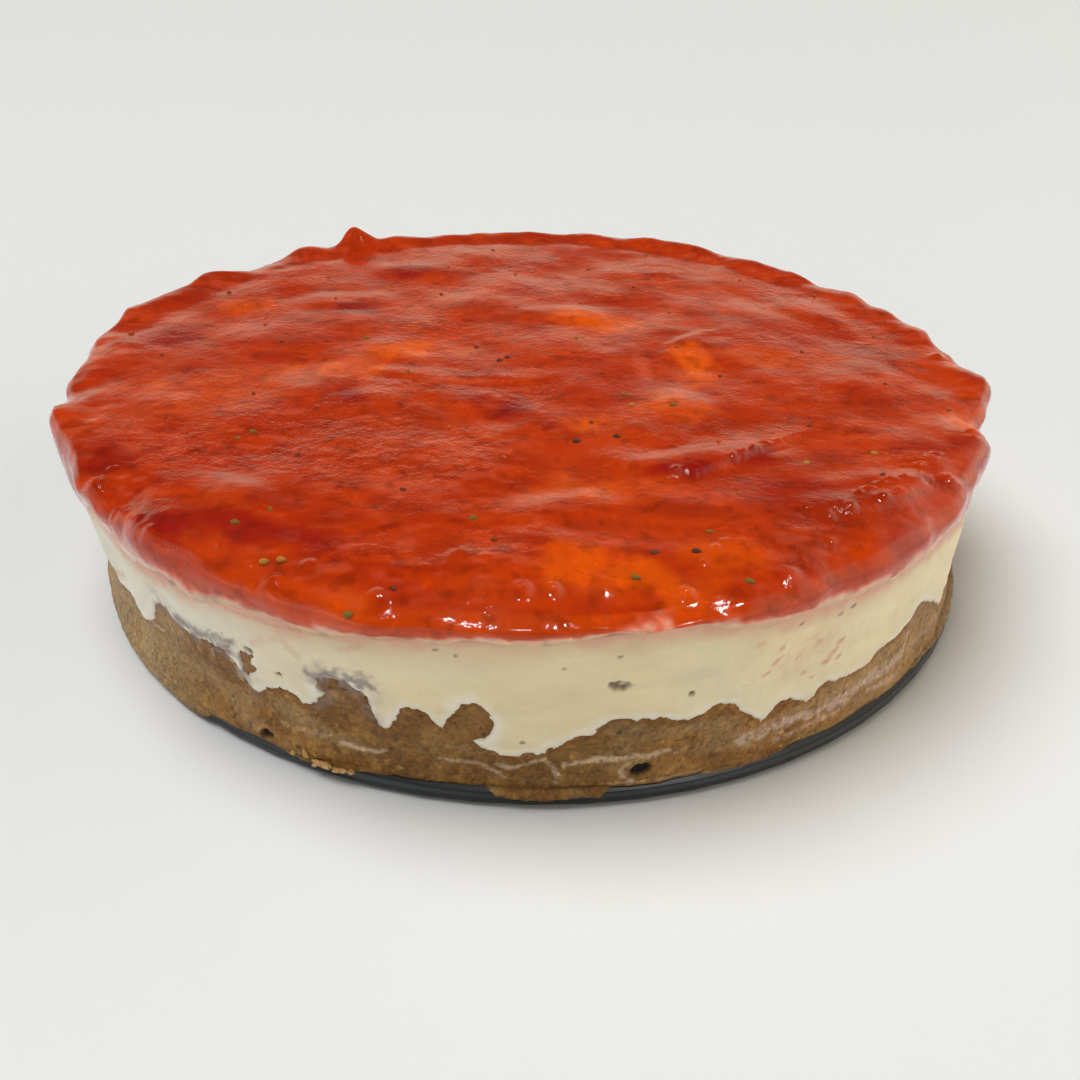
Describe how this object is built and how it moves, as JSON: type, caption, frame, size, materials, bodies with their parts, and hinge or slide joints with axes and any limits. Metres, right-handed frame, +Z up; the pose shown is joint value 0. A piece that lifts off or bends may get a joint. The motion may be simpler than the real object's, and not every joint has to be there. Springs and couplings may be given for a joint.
{
  "type": "strawberry cheesecake",
  "caption": "Round layered cheesecake on the metal base of its springform tin: biscuit crumb, set cream and a glossy strawberry topping.",
  "frame": {"origin": "on the table, at the middle of the tin base's flat underside", "axes": "+Z up through the layers, -Y towards the side that the picture shows, +X to that view's right"},
  "size_m": [0.1903, 0.1853, 0.0445],
  "materials": {
    "tin": "dark blue-grey coated sheet, satin",
    "crumb": "pressed biscuit crumb, matte and grainy",
    "cream": "set cream, smooth with a faint sheen",
    "topping": "strawberry jelly with fruit, wet and glossy"
  },
  "bodies": {
    "root": {"tin_base": "tin", "crumb_base": "crumb", "cream": "cream", "topping": "topping"}
  },
  "joints": []
}
